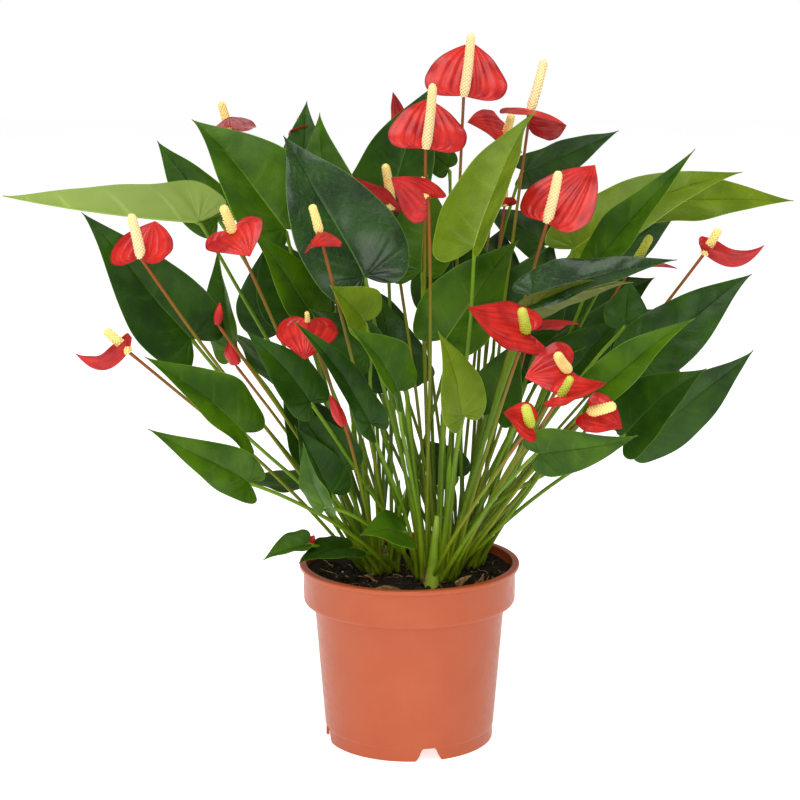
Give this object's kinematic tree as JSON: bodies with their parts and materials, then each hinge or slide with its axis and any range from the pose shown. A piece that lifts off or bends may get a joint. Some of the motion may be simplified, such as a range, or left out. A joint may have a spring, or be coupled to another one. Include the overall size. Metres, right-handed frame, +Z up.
{
  "type": "potted anthurium plant",
  "caption": "Compact red anthurium with glossy heart-shaped leaves and upright spadices, growing in a round terracotta-coloured nursery pot",
  "frame": {"origin": "on the standing plane, under the middle of the pot and of the foliage", "axes": "+X to the right, -Y toward the viewer in front, +Z up"},
  "size_m": [0.6082, 0.4281, 0.541],
  "materials": {
    "pot": "satin moulded terracotta-coloured plastic",
    "soil": "dark moist potting soil",
    "crown": "waxy green stem with dry sheaths",
    "leaf": "glossy mid-green leaf",
    "leaf_dark": "glossy dark green leaf",
    "leaf_pale": "pale green leaf underside",
    "flower": "glossy red waxy spathe"
  },
  "bodies": {
    "root": {"pot": "pot", "soil": "soil", "crown_a": "crown", "crown_b": "crown", "crown_c": "crown", "leaf_01": "leaf_pale", "leaf_02": "leaf_dark", "leaf_03": "leaf", "leaf_04": "leaf", "leaf_05": "leaf_dark", "leaf_06": "leaf", "leaf_07": "leaf_dark", "leaf_08": "leaf_dark", "leaf_09": "leaf", "leaf_10": "leaf", "leaf_11": "leaf_dark", "leaf_12": "leaf", "leaf_13": "leaf", "leaf_14": "leaf", "leaf_15": "leaf_dark", "leaf_16": "leaf", "leaf_17": "leaf_pale", "leaf_18": "leaf", "leaf_19": "leaf_dark", "leaf_20": "leaf_pale", "leaf_21": "leaf_pale", "leaf_22": "leaf", "leaf_23": "leaf_dark", "leaf_24": "leaf_dark", "leaf_25": "leaf", "leaf_26": "leaf_dark", "leaf_27": "leaf_dark", "leaf_28": "leaf", "leaf_29": "leaf_dark", "leaf_30": "leaf", "leaf_32": "leaf_dark", "leaf_33": "leaf_dark", "leaf_34": "leaf", "leaf_35": "leaf_dark", "flower_01": "flower", "flower_02": "flower", "flower_03": "flower", "flower_04": "flower", "flower_05": "flower", "flower_07": "flower", "flower_08": "flower", "flower_09": "flower", "flower_10": "flower", "flower_11": "flower", "flower_12": "flower", "flower_13": "flower", "flower_14": "flower", "flower_15": "flower", "flower_17": "flower", "flower_18": "flower", "flower_19": "flower", "flower_20": "flower", "flower_21": "flower", "flower_22": "flower", "flower_23": "flower"}
  },
  "joints": []
}
